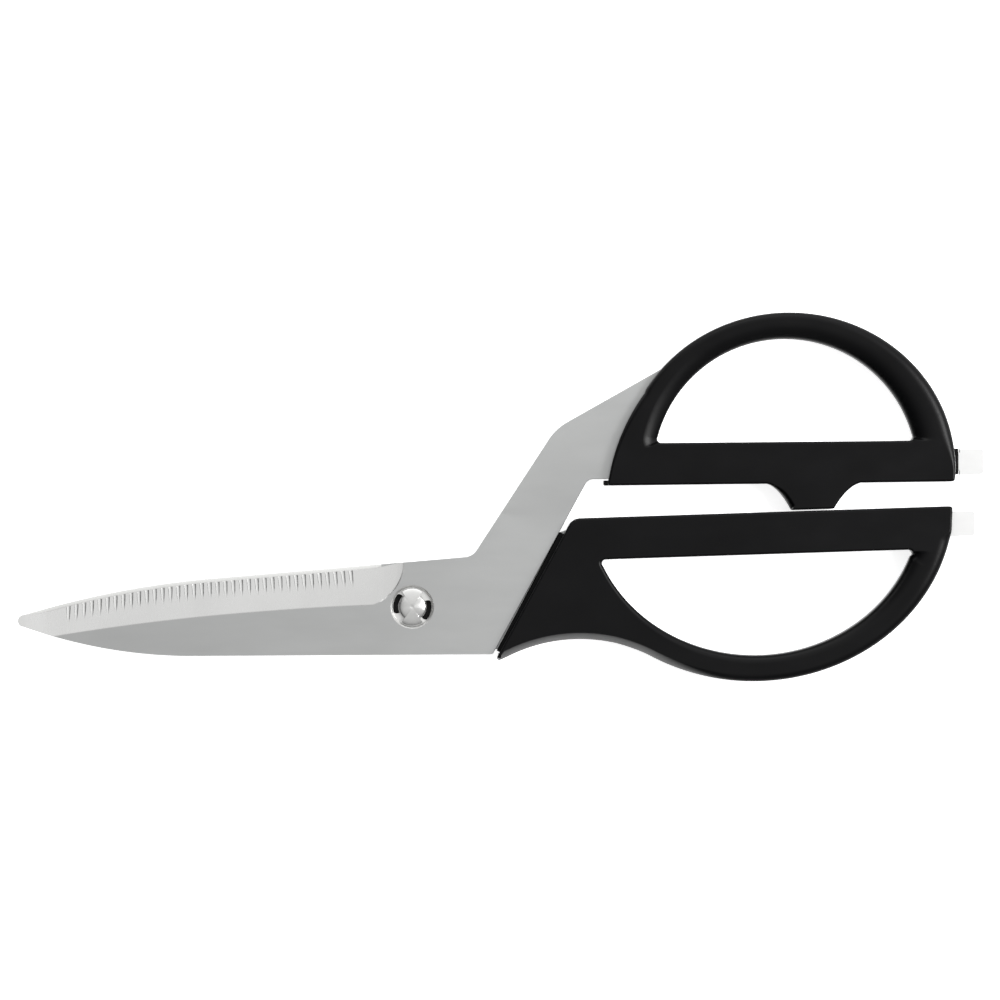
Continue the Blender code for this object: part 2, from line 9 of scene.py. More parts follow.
import bmesh
import bpy
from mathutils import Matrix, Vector
from mathutils.geometry import tessellate_polygon


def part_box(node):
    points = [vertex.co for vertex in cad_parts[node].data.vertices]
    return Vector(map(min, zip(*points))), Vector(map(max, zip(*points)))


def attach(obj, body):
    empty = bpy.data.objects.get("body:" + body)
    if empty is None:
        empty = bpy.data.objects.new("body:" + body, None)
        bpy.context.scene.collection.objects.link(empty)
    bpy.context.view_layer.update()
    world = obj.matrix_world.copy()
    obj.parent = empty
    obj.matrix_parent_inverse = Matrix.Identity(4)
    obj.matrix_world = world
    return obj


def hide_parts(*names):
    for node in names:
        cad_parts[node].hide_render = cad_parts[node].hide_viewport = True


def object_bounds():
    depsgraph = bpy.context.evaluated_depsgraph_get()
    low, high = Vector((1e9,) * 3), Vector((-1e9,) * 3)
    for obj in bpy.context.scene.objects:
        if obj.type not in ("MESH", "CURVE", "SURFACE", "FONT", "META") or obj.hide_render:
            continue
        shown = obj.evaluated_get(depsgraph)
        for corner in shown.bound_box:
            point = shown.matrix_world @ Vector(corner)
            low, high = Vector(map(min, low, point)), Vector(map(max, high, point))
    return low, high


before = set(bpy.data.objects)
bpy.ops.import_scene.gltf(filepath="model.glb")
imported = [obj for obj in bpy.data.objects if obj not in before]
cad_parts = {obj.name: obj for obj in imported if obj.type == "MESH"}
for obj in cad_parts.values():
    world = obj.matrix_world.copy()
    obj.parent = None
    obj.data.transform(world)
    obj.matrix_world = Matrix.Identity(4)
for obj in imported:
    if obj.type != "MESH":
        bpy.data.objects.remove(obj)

MM = 0.001
CAD_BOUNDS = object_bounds()

# Layers along the pivot axis, read from the frame.
HANDLE_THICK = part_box("upper_handle")[1].z / MM
BACK_BLADE_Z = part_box("back_blade")[0].z / MM
BACK_FACE_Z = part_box("back_blade")[1].z / MM
FRONT_BLADE_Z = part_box("front_blade")[0].z / MM
FRONT_FACE_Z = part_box("front_blade")[1].z / MM
HEAD_TOP_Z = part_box("pivot_stud")[1].z / MM
REAR_HEAD_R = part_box("pivot_stud")[1].x / MM
SLOT_GAP = 0.05  # left between pieces that are moulded or riveted together

# Blade silhouette: two straight flanks that bend towards the tip.
SPINE_AT_PIVOT = 11.76
SPINE_SLOPE = 0.0853
SPINE_BEND_X = -52.0
SPINE_BEND_R = 225.0
BELLY_AT_PIVOT = -12.42
BELLY_SLOPE = 0.0057
BELLY_BEND_X = -56.5
BELLY_BEND_R = 125.0
TIP_CENTRE = (-100.65, -3.7)
TIP_R = 1.55
EDGE_SETBACK = 1.0  # how far a cutting edge stops short of the other blade's spine
TIP_FADE = 5.0  # length over which the setback fades out at the tip
HEEL_X = -2.3
HEEL_FADE = 8.0  # length over which it fades out at the heel
BLADE_CHAMFER = 0.1
SPINE_CHAMFER = (1.3, 0.32)  # width and depth on the back blade's spine
SPINE_CUT_START_X = -104.0
SPINE_CUT_STEP = 2.0
SPINE_CUT_STEPS = 49

# Ground bevel, its run-out, and the serration on the front blade.
GRIND_AT_PIVOT = 1.95
GRIND_SLOPE = 0.075
GRIND_BEND_X = (-40.0, -33.0)
GRIND_BEND_R = 580.0
EDGE_LAND = 0.45
GRIND_LIP = 0.05
GRIND_LIP_WIDTH = 0.3
GRIND_LIP_SPREAD = 0.3  # extra width for each millimetre of the wall's depth
GRIND_START_X = -106.0
GRIND_STEP = 1.9
GRIND_STEPS = 49
RUN_OUT_CENTRE = (-14.32, 12.05)
RUN_OUT_R = 12.07
SERRATIONS = 37
SERRATION_FIRST_X = -89.1
SERRATION_PITCH = 2.03
SERRATION_LEAN = 0.12
# Distance down from the cutting edge, half width and depth at each section of a groove.
GROOVE_SECTIONS = (
    (-0.6, 0.58, 0.36),
    (0.6, 0.56, 0.33),
    (2.5, 0.48, 0.24),
    (4.5, 0.14, -0.02),
)
GROOVE_ACROSS = (-1.0, -0.75, -0.3, 0.3, 0.75, 1.0)
GROOVE_CLEAR = 0.3  # height of the cutter above the bevel

# Pivot: a winged stud, and the keyway it locks in. Angles are in degrees.
STUD_R = 3.4
STUD_RUNNING_GAP = 0.08
WING_R = 4.8
WING_CENTRES = (90.0, 270.0)
WING_HALF = 35.0
HEAD_THICK = 1.0
HEAD_DOME = 0.38
HEAD_SHARES = (0.85, 0.7, 0.55, 0.4, 0.25, 0.15)  # of the radius, where the dome is stepped
KEYWAY_R = 5.0
KEYWAY_CENTRES = (168.0, 348.0)
KEYWAY_HALF = 37.0
KEYWAY_ROUND = 10.0  # degrees over which each keyway narrows to its end
HEAD_RECESS_R = 5.22
HEAD_RECESS_FLOOR_R = 5.06
HEAD_RECESS_DEPTH = 1.0
RECESS_CHAMFER = 0.4
WASHER_R = 6.0
WASHER_THICK = 0.6
GAP = 0.3
RING_STEP = 2

# Shank: its straight right-hand edge, a line at a distance from the pivot axis, and its
# corners. The ledge on the lower loop runs along that edge.
SHANK_EDGE_ANGLE = -28.5
SHANK_EDGE_R = 24.15
SHANK_HEEL_X = 20.8
SHANK_CROOK = (15.6, 13.09)
SHANK_SHOULDER = (37.16, 46.18)
SHANK_CROWN = (63.04, 60.79)
LEDGE_ANGLE = -27.9
LEDGE_R = 24.6
LEDGE_WIDTH = 0.9
LEDGE_OVERLAP = 2.5
LEDGE_SPAN = (0.2, 35.0)
LEDGE_THICK = 1.0
LEDGE_DROP = 0.1  # how far it reaches below the front blade's rear face

# Tangs that run through the straight bars and stand out of their ends.
UPPER_TANG_START = (45.5, 33.05)
UPPER_TANG_SLOPE = 0.0122
UPPER_TANG_HIGH = 6.7
UPPER_TIP_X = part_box("front_blade")[1].x / MM
UPPER_NECK_X = (138.7, 141.6)
UPPER_NECK_DEPTH = 1.0
TANG_CHAMFER = 0.5
COLLAR_X = (138.0, 141.3)
COLLAR_Y = (34.3, 41.0)
COLLAR_ROUND = 0.3
COVER = 0.9  # plastic over the upper tang where it leaves the loop
LOWER_TANG_START = (53.7, 15.4)
LOWER_TANG_SLOPE = 0.0324
LOWER_TANG_HIGH = 6.45
LOWER_TIP_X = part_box("back_blade")[1].x / MM
LOWER_LOOP_END_X = 138.0

# Upper finger loop.
UPPER_ARC_CENTRE = (97.57, 36.10)
UPPER_ARC_R = (42.9, 40.1)
UPPER_CHEEK_CENTRE = (102.81, 24.39)
UPPER_CHEEK_R = 52.71
UPPER_HOLE_CENTRE = (96.55, 35.13)
UPPER_HOLE_R = 34.21
UPPER_BAR_LEFT = (50.57, 31.38)
UPPER_BAR_RIGHT = (140.35, 32.45)
# Corners of the small foot at the bar's left-hand end, each with its rounding.
UPPER_FOOT = ((49.5, 31.35, 0.4), (52.0, 31.45, 0), (52.0, 32.7, 0), (49.5, 32.7, 0.2))
UPPER_FOOT_Z = 0.6
UPPER_HOLE_LEFT = (63.13, 42.41)
UPPER_HOLE_RIGHT = (129.84, 43.01)

# Lower finger loop.
LOWER_ARC_CENTRE = (88.23, 27.12)
LOWER_ARC_R = (51.9, 46.35)
LOWER_HOLE_CENTRE = (88.53, 26.36)
LOWER_HOLE_R = (42.86, 38.84)
LOWER_HOLE_LEFT = (48.55, 12.23)
LOWER_HOLE_RIGHT = (129.81, 14.85)
LOWER_WAIST_CENTRE = (43.53, -49.92)
LOWER_WAIST_R = 41.55
LOWER_BAR_LEFT = (41.6, 22.9)
LOWER_BAR_RIGHT = (139.75, 26.09)
LOWER_WAIST_CONTROL = (57.9, -10.8)
LOWER_TOE = (21.15, -14.5)

# Rounding of the loops: width along the face, depth, and a power that is 1 for an
# elliptical border and 2 for a straight slope.
BAR_EDGE = (0.6, 0.6, 1.0)
ARC_OUTER_EDGE = (1.8, 1.4, 1.0)
ARC_SIDE_EDGE = (2.8, 1.7, 1.0)
WAIST_EDGE = (1.7, 4.6, 1.7)
BUMPER_EDGE = (1.5, 4.0, 1.0)
UPPER_END_EDGE = (5.9, 3.4, 1.0)
LOWER_END_EDGE = (4.6, 3.0, 1.0)
UPPER_CROWN_EDGE = (4.2, 3.0, 1.0)
LOWER_CROWN_EDGE = (2.2, 1.8, 1.0)
UPPER_CHEEK_EDGE = (3.9, 2.2, 1.4)
LOWER_CHEEK_EDGE = (1.0, 0.9, 1.0)
HEEL_CREASE = (0.36, 0.56)  # share of a hole's corner within which its edge changes
TOE_CREASE = (0.58, 0.8)
EDGE_STEPS = 10
CORNER_POINTS = 6
SHARP_ANGLE = 30.0

# Camera, straight above the closed shears.
CAMERA_HEIGHT = 2.0
FRAME_WIDTH = 0.2588
SENSOR_WIDTH = 36.0
LOOK_SHIFT = (-0.16, -0.81)


# Plane geometry.


def polar(centre, radii, degrees):
    """Point of a circle (one radius) or an axis-aligned ellipse (two radii)."""
    across, up = radii if isinstance(radii, tuple) else (radii, radii)
    angle = math.radians(degrees)
    return (centre[0] + across * math.cos(angle), centre[1] + up * math.sin(angle))


def arc(centre, radii, start, end, count):
    """Points of an arc from start to end degrees, without the last one."""
    return [polar(centre, radii, start + (end - start) * i / count) for i in range(count)]


def bezier(start, control, end, count):
    """Points of a quadratic curve, without the last one."""
    a, b, c = Vector(start), Vector(control), Vector(end)
    steps = [i / count for i in range(count)]
    return [tuple(a.lerp(b, t).lerp(b.lerp(c, t), t)) for t in steps]


def round_corner(before, corner, after, radius, count):
    """Fillet of a corner: count points, both tangent points included."""
    here = Vector(corner)
    to_before = (Vector(before) - here).normalized()
    to_after = (Vector(after) - here).normalized()
    half = to_before.angle(to_after) / 2
    centre = here + (to_before + to_after).normalized() * radius / math.sin(half)
    first = here + to_before * radius / math.tan(half) - centre
    last = here + to_after * radius / math.tan(half) - centre
    turn = first.angle_signed(last)
    start = math.degrees(math.atan2(first.y, first.x))
    swept = -math.degrees(turn)
    return [polar(centre, radius, start + swept * i / (count - 1)) for i in range(count)]


def rounded(corners):
    """Closed outline through (x, y, radius) corners, sharp where the radius is 0."""
    points = []
    for i, (x, y, radius) in enumerate(corners):
        before = corners[i - 1][:2]
        after = corners[(i + 1) % len(corners)][:2]
        if radius:
            points += round_corner(before, (x, y), after, radius, CORNER_POINTS)
        else:
            points.append((x, y))
    return points


def offset(outline, distances):
    """Move each point of a closed outline inwards, to its left as the outline runs."""
    moved = []
    for i, point in enumerate(outline):
        here = Vector(point)
        back = (here - Vector(outline[i - 1])).normalized()
        ahead = (Vector(outline[(i + 1) % len(outline)]) - here).normalized()
        mitre = Vector((-(back.y + ahead.y), back.x + ahead.x))
        mitre /= max(mitre.length_squared / 2, 0.5)
        moved.append(tuple(here + mitre * distances[i]))
    return moved


def smooth_step(value):
    value = min(1.0, max(0.0, value))
    return value * value * (3 - 2 * value)


# Meshes.


def mesh_object(name, points, faces, finish):
    """Object from points in millimetres, its faces turned to point out."""
    body = bmesh.new()
    corners = [body.verts.new(Vector(point) * MM) for point in points]
    for face in faces:
        body.faces.new([corners[i] for i in face])
    bmesh.ops.remove_doubles(body, verts=body.verts, dist=0.001 * MM)
    bmesh.ops.recalc_face_normals(body, faces=body.faces)
    mesh = bpy.data.meshes.new(name)
    body.to_mesh(mesh)
    body.free()
    mesh.materials.append(finish)
    made = bpy.data.objects.new(name, mesh)
    bpy.context.scene.collection.objects.link(made)
    return made


def skin(loops):
    """Faces between loops of equal length, one after the other."""
    size = len(loops[0])
    faces = []
    for low in range(0, size * (len(loops) - 1), size):
        for i in range(size):
            j = (i + 1) % size
            faces.append([low + i, low + j, low + size + j, low + size + i])
    return faces


def stack(name, loops, finish):
    """Closed body from loops of equal length, capped at both ends."""
    size = len(loops[0])
    points = [point for loop in loops for point in loop]
    caps = [list(range(size))[::-1], list(range(len(points) - size, len(points)))]
    return mesh_object(name, points, skin(loops) + caps, finish)


def prism(name, outline, low, high, finish, chamfer=0.0):
    """Plate between two heights, with a small chamfer round both faces if it is given."""
    levels = [(outline, low + chamfer), (outline, high - chamfer)]
    if chamfer:
        inside = offset(outline, [chamfer] * len(outline))
        levels = [(inside, low), *levels, (inside, high)]
    return stack(name, [[(x, y, z) for x, y in plan] for plan, z in levels], finish)


def cut(target, tool, operation="DIFFERENCE"):
    """Boolean that leaves the tool's finish on the faces it makes, applied at once."""
    step = target.modifiers.new(tool.name, "BOOLEAN")
    step.operation = operation
    step.solver = "EXACT"
    step.material_mode = "TRANSFER"
    step.object = tool
    graph = bpy.context.evaluated_depsgraph_get()
    made = bpy.data.meshes.new_from_object(target.evaluated_get(graph))
    target.modifiers.clear()
    target.data = made
    bpy.data.objects.remove(tool)


def finish_shading(piece):
    """Smooth shading with sharp edges, where the large flats keep their own normals."""
    piece.data.shade_smooth()
    piece.data.set_sharp_from_angle(angle=math.radians(SHARP_ANGLE))
    weights = piece.modifiers.new("flat_normals", "WEIGHTED_NORMAL")
    weights.keep_sharp = True
    weights.weight = 100


# Materials.


def shader_of(name):
    made = bpy.data.materials.new(name)
    made.use_nodes = True
    tree = made.node_tree
    return made, tree, tree.nodes["Principled BSDF"]


def noise(tree, scale, detail=3.0, roughness=0.55):
    """Noise over the piece's own coordinates, with a scale in cycles per metre."""
    place = tree.nodes.new("ShaderNodeTexCoord")
    stretch = tree.nodes.new("ShaderNodeMapping")
    pattern = tree.nodes.new("ShaderNodeTexNoise")
    stretch.inputs["Scale"].default_value = scale
    pattern.inputs["Scale"].default_value = 1.0
    pattern.inputs["Detail"].default_value = detail
    pattern.inputs["Roughness"].default_value = roughness
    tree.links.new(place.outputs["Object"], stretch.inputs["Vector"])
    tree.links.new(stretch.outputs["Vector"], pattern.inputs["Vector"])
    return pattern.outputs["Fac"]


def spread(tree, value, low, high, start=0.3, end=0.7):
    """Map a noise value onto a range."""
    node = tree.nodes.new("ShaderNodeMapRange")
    node.inputs["From Min"].default_value = start
    node.inputs["From Max"].default_value = end
    node.inputs["To Min"].default_value = low
    node.inputs["To Max"].default_value = high
    tree.links.new(value, node.inputs["Value"])
    return node.outputs["Result"]


def scaled(colour, factor):
    return tuple(part * factor for part in colour)


def blend_colours(tree, value, dark, light):
    """Mix two colours by a noise value, mostly in its middle range."""
    node = tree.nodes.new("ShaderNodeValToRGB")
    node.color_ramp.elements[0].position = 0.25
    node.color_ramp.elements[1].position = 0.75
    node.color_ramp.elements[0].color = (*dark, 1.0)
    node.color_ramp.elements[1].color = (*light, 1.0)
    tree.links.new(value, node.inputs["Fac"])
    return node.outputs["Color"]


def multiply(tree, first, second):
    node = tree.nodes.new("ShaderNodeMath")
    node.operation = "MULTIPLY"
    tree.links.new(first, node.inputs[0])
    tree.links.new(second, node.inputs[1])
    return node.outputs["Value"]


def bump(tree, value, strength, distance):
    """Surface relief from a noise value, with its height in metres."""
    node = tree.nodes.new("ShaderNodeBump")
    node.inputs["Strength"].default_value = strength
    node.inputs["Distance"].default_value = distance
    tree.links.new(value, node.inputs["Height"])
    return node.outputs["Normal"]


def ground_steel(name, colour, roughness, lines, cloud, anisotropy=0.0, relief_share=0.2):
    """Ground stainless steel: fine lines one way, under faint cloudy marks.

    Lines and cloud are the noise scales, in cycles per metre.
    """
    made, tree, shader = shader_of(name)
    scratch = noise(tree, lines, detail=4.0, roughness=0.6)
    marks = noise(tree, cloud)
    tone = blend_colours(tree, marks, scaled(colour, 0.955), scaled(colour, 1.035))
    tree.links.new(tone, shader.inputs["Base Color"])
    rough = spread(tree, scratch, roughness - 0.015, roughness + 0.015)
    tree.links.new(rough, shader.inputs["Roughness"])
    relief = bump(tree, scratch, relief_share, 0.00001)
    tree.links.new(relief, shader.inputs["Normal"])
    shader.inputs["Metallic"].default_value = 1.0
    shader.inputs["Anisotropic"].default_value = anisotropy
    return made


def turned_steel(name, colour, roughness):
    """Steel turned on a lathe: rings round the pivot axis."""
    made, tree, shader = shader_of(name)
    place = tree.nodes.new("ShaderNodeTexCoord")
    rings = tree.nodes.new("ShaderNodeTexWave")
    rings.wave_type = "RINGS"
    rings.rings_direction = "Z"
    rings.inputs["Scale"].default_value = 1100.0
    rings.inputs["Distortion"].default_value = 0.6
    rings.inputs["Detail"].default_value = 2.0
    tree.links.new(place.outputs["Object"], rings.inputs["Vector"])
    tangent = tree.nodes.new("ShaderNodeTangent")
    tangent.direction_type = "RADIAL"
    tangent.axis = "Z"
    tree.links.new(tangent.outputs["Tangent"], shader.inputs["Tangent"])
    tone = blend_colours(tree, rings.outputs["Fac"], scaled(colour, 0.93), colour)
    tree.links.new(tone, shader.inputs["Base Color"])
    rough = spread(tree, rings.outputs["Fac"], roughness - 0.04, roughness + 0.05)
    tree.links.new(rough, shader.inputs["Roughness"])
    relief = bump(tree, rings.outputs["Fac"], 0.3, 0.00001)
    tree.links.new(relief, shader.inputs["Normal"])
    shader.inputs["Metallic"].default_value = 1.0
    shader.inputs["Anisotropic"].default_value = 0.75
    shader.inputs["Anisotropic Rotation"].default_value = 0.25
    return made


def moulded_plastic(name, colour, roughness, gloss, grain_depth):
    """Satin moulded plastic: a fine even grain over faint flow marks."""
    made, tree, shader = shader_of(name)
    grain = noise(tree, (5200, 5200, 5200), detail=2.0)
    flow = noise(tree, (60, 90, 90))
    tone = blend_colours(tree, flow, colour, scaled(colour, 1.35))
    tree.links.new(tone, shader.inputs["Base Color"])
    rough = spread(tree, flow, roughness - 0.05, roughness + 0.06)
    tree.links.new(rough, shader.inputs["Roughness"])
    relief = bump(tree, grain, grain_depth, 0.00002)
    tree.links.new(relief, shader.inputs["Normal"])
    shader.inputs["Specular IOR Level"].default_value = gloss
    return made


# Blades.


def spine_y(x):
    bend = max(0.0, SPINE_BEND_X - x)
    return SPINE_AT_PIVOT + SPINE_SLOPE * x - bend**2 / (2 * SPINE_BEND_R)


def belly_y(x):
    bend = max(0.0, BELLY_BEND_X - x)
    return BELLY_AT_PIVOT + BELLY_SLOPE * x + bend**2 / (2 * BELLY_BEND_R)


def setback(x):
    """The cutting edge's distance from the silhouette, fading out at the tip and the heel."""
    share = min((x - TIP_CENTRE[0]) / TIP_FADE, (HEEL_X - x) / HEEL_FADE, 1.0)
    return EDGE_SETBACK * max(0.0, share)


def front_edge_y(x):
    return spine_y(x) - setback(x)


def back_edge_y(x):
    return belly_y(x) + setback(x)


def grind_width(x):
    """Width of the ground bevel, from the cutting edge to the grind line."""
    bend = max(0.0, GRIND_BEND_X[0] - x, x - GRIND_BEND_X[1])
    grind_y = GRIND_AT_PIVOT + GRIND_SLOPE * x - bend**2 / (2 * GRIND_BEND_R)
    return front_edge_y(x) - grind_y


def run_out_width(x):
    """Distance from the cutting edge to the round end of the bevel."""
    across = x - RUN_OUT_CENTRE[0]
    if across <= 0:
        return RUN_OUT_R
    reach = math.sqrt(max(0.0, RUN_OUT_R**2 - across**2))
    return front_edge_y(x) - RUN_OUT_CENTRE[1] + reach


def grind_stations():
    """Places along the blade: even up to the run-out, then closing up round it."""
    straight = [GRIND_START_X + GRIND_STEP * i for i in range(GRIND_STEPS)]
    angles = [math.radians(angle) for angle in range(5, 88, 3)]
    turned = [RUN_OUT_CENTRE[0] + RUN_OUT_R * math.sin(angle) for angle in angles]
    return straight + turned


def grind_cutter(name, edge_y, side, face, edge_z, finish):
    """Solid that takes the bevel off one face, with a short lip where the wheel stopped."""
    loops = []
    lift = math.copysign(1.0, face - edge_z)
    outside = 2.0
    for x in grind_stations():
        full = grind_width(x)
        width = min(full, run_out_width(x))
        slope = (edge_z - face) / full
        wall_z = face + slope * (full - width) - lift * GRIND_LIP
        lip = GRIND_LIP_WIDTH + GRIND_LIP_SPREAD * abs(face - wall_z)
        edge = edge_y(x)
        loops.append(
            [
                (x, edge - side * (width + lip), face + lift),
                (x, edge - side * (width + lip), face),
                (x, edge - side * width, wall_z),
                (x, edge + side * outside, face + slope * (full + outside)),
                (x, edge + side * outside, face + lift),
            ]
        )
    return stack(name, loops, finish)


def serration_cutter(finish):
    """Round-bottomed grooves down the bevel from the cutting edge, fading out below it."""
    slope_z = FRONT_BLADE_Z + EDGE_LAND - FRONT_FACE_Z
    size = len(GROOVE_ACROSS) + 2
    points = []
    faces = []
    for groove in range(SERRATIONS):
        x = SERRATION_FIRST_X + SERRATION_PITCH * groove
        slope = slope_z / grind_width(x)
        edge = front_edge_y(x)
        lean = SERRATION_LEAN * groove / SERRATIONS
        first = len(points)
        for down, half, depth in GROOVE_SECTIONS:
            surface = FRONT_FACE_Z + slope * (grind_width(x) - down)
            centre = x + lean * down
            for share in GROOVE_ACROSS:
                sink = depth * math.sqrt(1 - share * share)
                points.append((centre + share * half, edge - down, surface - sink))
            points.append((centre + half, edge - down, surface + GROOVE_CLEAR))
            points.append((centre - half, edge - down, surface + GROOVE_CLEAR))
        last = first + size * (len(GROOVE_SECTIONS) - 1)
        faces.append([first + k for k in range(size)])
        faces.append([last + k for k in reversed(range(size))])
        for low in range(first, last, size):
            for k in range(size):
                n = (k + 1) % size
                faces.append([low + k, low + size + k, low + size + n, low + n])
    return mesh_object("serration_cut", points, faces, finish)


def spine_cutter(finish):
    """Takes a shallow chamfer off the back blade's spine, where it shows past the edge."""
    width, depth = SPINE_CHAMFER
    outside = 1.0
    loops = []
    for i in range(SPINE_CUT_STEPS):
        x = SPINE_CUT_START_X + SPINE_CUT_STEP * i
        inner = spine_y(x) - width * min(1.0, setback(x))
        outer_z = BACK_FACE_Z - depth * (1 + outside / width)
        loops.append(
            [
                (x, inner, BACK_FACE_Z + 1),
                (x, inner, BACK_FACE_Z),
                (x, inner + width + outside, outer_z),
                (x, inner + width + outside, BACK_FACE_Z + 1),
            ]
        )
    return stack("spine_cut", loops, finish)


def tip_points(low_y, high_y):
    """Round end of a blade, from its upper flank over the tip to its lower flank."""
    x = TIP_CENTRE[0]
    centre_y = (low_y(x) + high_y(x)) / 2
    radius_y = (high_y(x) - low_y(x)) / 2
    return arc((x, centre_y), (TIP_R, radius_y), 90, 270, 20)


def flank(height, start, end, count):
    """Points of a blade flank between two places along the blade."""
    places = [start + (end - start) * i / count for i in range(count)]
    return [(x, height(x)) for x in places]


def shank_edge_point(y):
    """Place on the shank's straight right-hand edge at a given height."""
    angle = math.radians(SHANK_EDGE_ANGLE)
    return ((SHANK_EDGE_R - y * math.sin(angle)) / math.cos(angle), y)


def upper_tang_y(x):
    return UPPER_TANG_START[1] + UPPER_TANG_SLOPE * (x - UPPER_TANG_START[0])


def lower_tang_y(x):
    return LOWER_TANG_START[1] + LOWER_TANG_SLOPE * (x - LOWER_TANG_START[0])


def tang_tip(low_y, high, tip_x):
    """Blunt end of a tang with chamfered corners, from its lower to its upper edge."""
    low = low_y(tip_x)
    return [
        (tip_x - TANG_CHAMFER, low),
        (tip_x, low + TANG_CHAMFER),
        (tip_x, low + high - TANG_CHAMFER),
        (tip_x - TANG_CHAMFER, low + high),
    ]


def tang_neck(edge_y):
    """Notch in one tang edge that lets the collar close round the steel."""
    start, end = UPPER_NECK_X
    return [
        (start, edge_y(start)),
        (start, edge_y(start) + UPPER_NECK_DEPTH),
        (end, edge_y(end) + UPPER_NECK_DEPTH),
        (end, edge_y(end)),
    ]


def front_blade_outline():
    """Blade, shank and tang of the front half, counter-clockwise from the tip.

    The bare numbers are the tang's corners inside the loop, and places along the straight
    edges that meet at a rounded corner.
    """
    heel = shank_edge_point(belly_y(SHANK_HEEL_X))
    points = tip_points(belly_y, front_edge_y)
    points += flank(belly_y, TIP_CENTRE[0], BELLY_BEND_X, 24)
    points += [(BELLY_BEND_X, belly_y(BELLY_BEND_X))]
    points += round_corner((0, belly_y(0)), heel, UPPER_TANG_START, 0.8, 7)
    points += round_corner(heel, UPPER_TANG_START, (60, upper_tang_y(60)), 2.3, 12)
    points += tang_neck(upper_tang_y)
    points += tang_tip(upper_tang_y, UPPER_TANG_HIGH, UPPER_TIP_X)
    for x, y in reversed(tang_neck(upper_tang_y)):
        points.append((x, 2 * upper_tang_y(x) + UPPER_TANG_HIGH - y))
    points += [(60.6, upper_tang_y(60.6) + UPPER_TANG_HIGH)]
    points += arc(UPPER_HOLE_CENTRE, UPPER_HOLE_R + 3.0, 168, 142, 6)
    points += [(66.4, 58.6), (64.3, 61.5)]
    points += round_corner(SHANK_CROWN, SHANK_SHOULDER, (17.5, 16.0), 14.0, 16)
    points += round_corner((34.5, 42.1), SHANK_CROOK, (0.0, spine_y(0)), 4.0, 16)
    points += flank(front_edge_y, HEEL_X, TIP_CENTRE[0], 48)
    return points


def back_blade_outline():
    """Blade and tang of the back half, counter-clockwise from the tip.

    The bare numbers are corners under the front blade or inside the lower loop.
    """
    points = tip_points(back_edge_y, spine_y)
    points += flank(back_edge_y, TIP_CENTRE[0], HEEL_X, 40)
    points += [(HEEL_X, back_edge_y(HEEL_X)), (19.4, -11.4), (22.4, -10.9)]
    points += [(30.5, -6.2), (41.5, 7.0), (48.0, lower_tang_y(48.0))]
    points += tang_tip(lower_tang_y, LOWER_TANG_HIGH, LOWER_TIP_X)
    points += [(50.0, lower_tang_y(50.0) + LOWER_TANG_HIGH), (41.0, 20.3)]
    points += [(13.5, 11.2), (HEEL_X + 1.5, spine_y(HEEL_X) - 1.0)]
    points += flank(spine_y, HEEL_X - 1.0, TIP_CENTRE[0], 40)
    return points


def brighten_tip(blade, x, finish):
    """Give the tang end beyond x, which stands out of the loop, a much lighter steel colour: a
    painted reflection that makes it look nearly white.
    """
    body = bmesh.new()
    body.from_mesh(blade.data)
    parts = body.verts[:] + body.edges[:] + body.faces[:]
    bmesh.ops.bisect_plane(body, geom=parts, plane_co=(x * MM, 0, 0), plane_no=(1, 0, 0))
    body.to_mesh(blade.data)
    body.free()
    blade.data.materials.append(finish)
    for face in blade.data.polygons:
        if face.center.x > x * MM:
            face.material_index = len(blade.data.materials) - 1


# Pivot.


def radial_loop(radius_at, z):
    """Loop round the pivot axis, with close pairs of points where the radius jumps."""
    angles = set(range(0, 360, RING_STEP))
    for centres, half in ((WING_CENTRES, WING_HALF), (KEYWAY_CENTRES, KEYWAY_HALF)):
        for centre in centres:
            for side in (-1, 1):
                limit = centre + side * half
                angles |= {limit % 360, (limit + side) % 360}
    return [(*polar((0, 0), radius_at(angle), angle), z) for angle in sorted(angles)]


def sector_radius(inner, outer, centres, half, fade=0.01):
    """Radius function: outer within half degrees of a centre, rounded off to inner."""

    def radius_at(angle):
        away = min(abs((angle - centre + 180) % 360 - 180) for centre in centres)
        share = min(1.0, max(0.0, (away - half) / fade + 1))
        return inner + (outer - inner) * math.sqrt(1 - share**2)

    return radius_at


def circle_radius(radius):
    return lambda angle: radius


def stacked_rings(name, levels, finish):
    return stack(name, [radial_loop(radius, z) for radius, z in levels], finish)


def head_radius(share):
    """Plan of the winged head, shrunk towards its centre."""
    return sector_radius(STUD_R * share, WING_R * share, WING_CENTRES, WING_HALF)


def pivot_stud(finish):
    """Rear rivet head, shaft, and the domed two-winged head with its centre mark."""
    under_head = HEAD_TOP_Z - HEAD_THICK
    rear_top = BACK_BLADE_Z - SLOT_GAP
    shaft = circle_radius(STUD_R)
    rim_z = HEAD_TOP_Z - HEAD_DOME
    levels = [
        (circle_radius(0.5), 0.12),
        (circle_radius(0.9), 0.0),
        (circle_radius(REAR_HEAD_R - 0.5), 0.0),
        (circle_radius(REAR_HEAD_R - 0.15), 0.1),
        (circle_radius(REAR_HEAD_R), 0.35),
        (circle_radius(REAR_HEAD_R), rear_top),
        (shaft, rear_top),
        (shaft, under_head),
        (head_radius(1.0), under_head),
        (head_radius(1.0), rim_z - 0.22),
        (head_radius(0.985), rim_z - 0.08),
        (head_radius(0.95), rim_z),
    ]
    for share in HEAD_SHARES:
        levels.append((head_radius(share), HEAD_TOP_Z - HEAD_DOME * share**2))
    levels.append((circle_radius(0.3), HEAD_TOP_Z - 0.03))
    levels.append((circle_radius(0.05), HEAD_TOP_Z - 0.08))
    return stacked_rings("pivot_stud_turned", levels, finish)


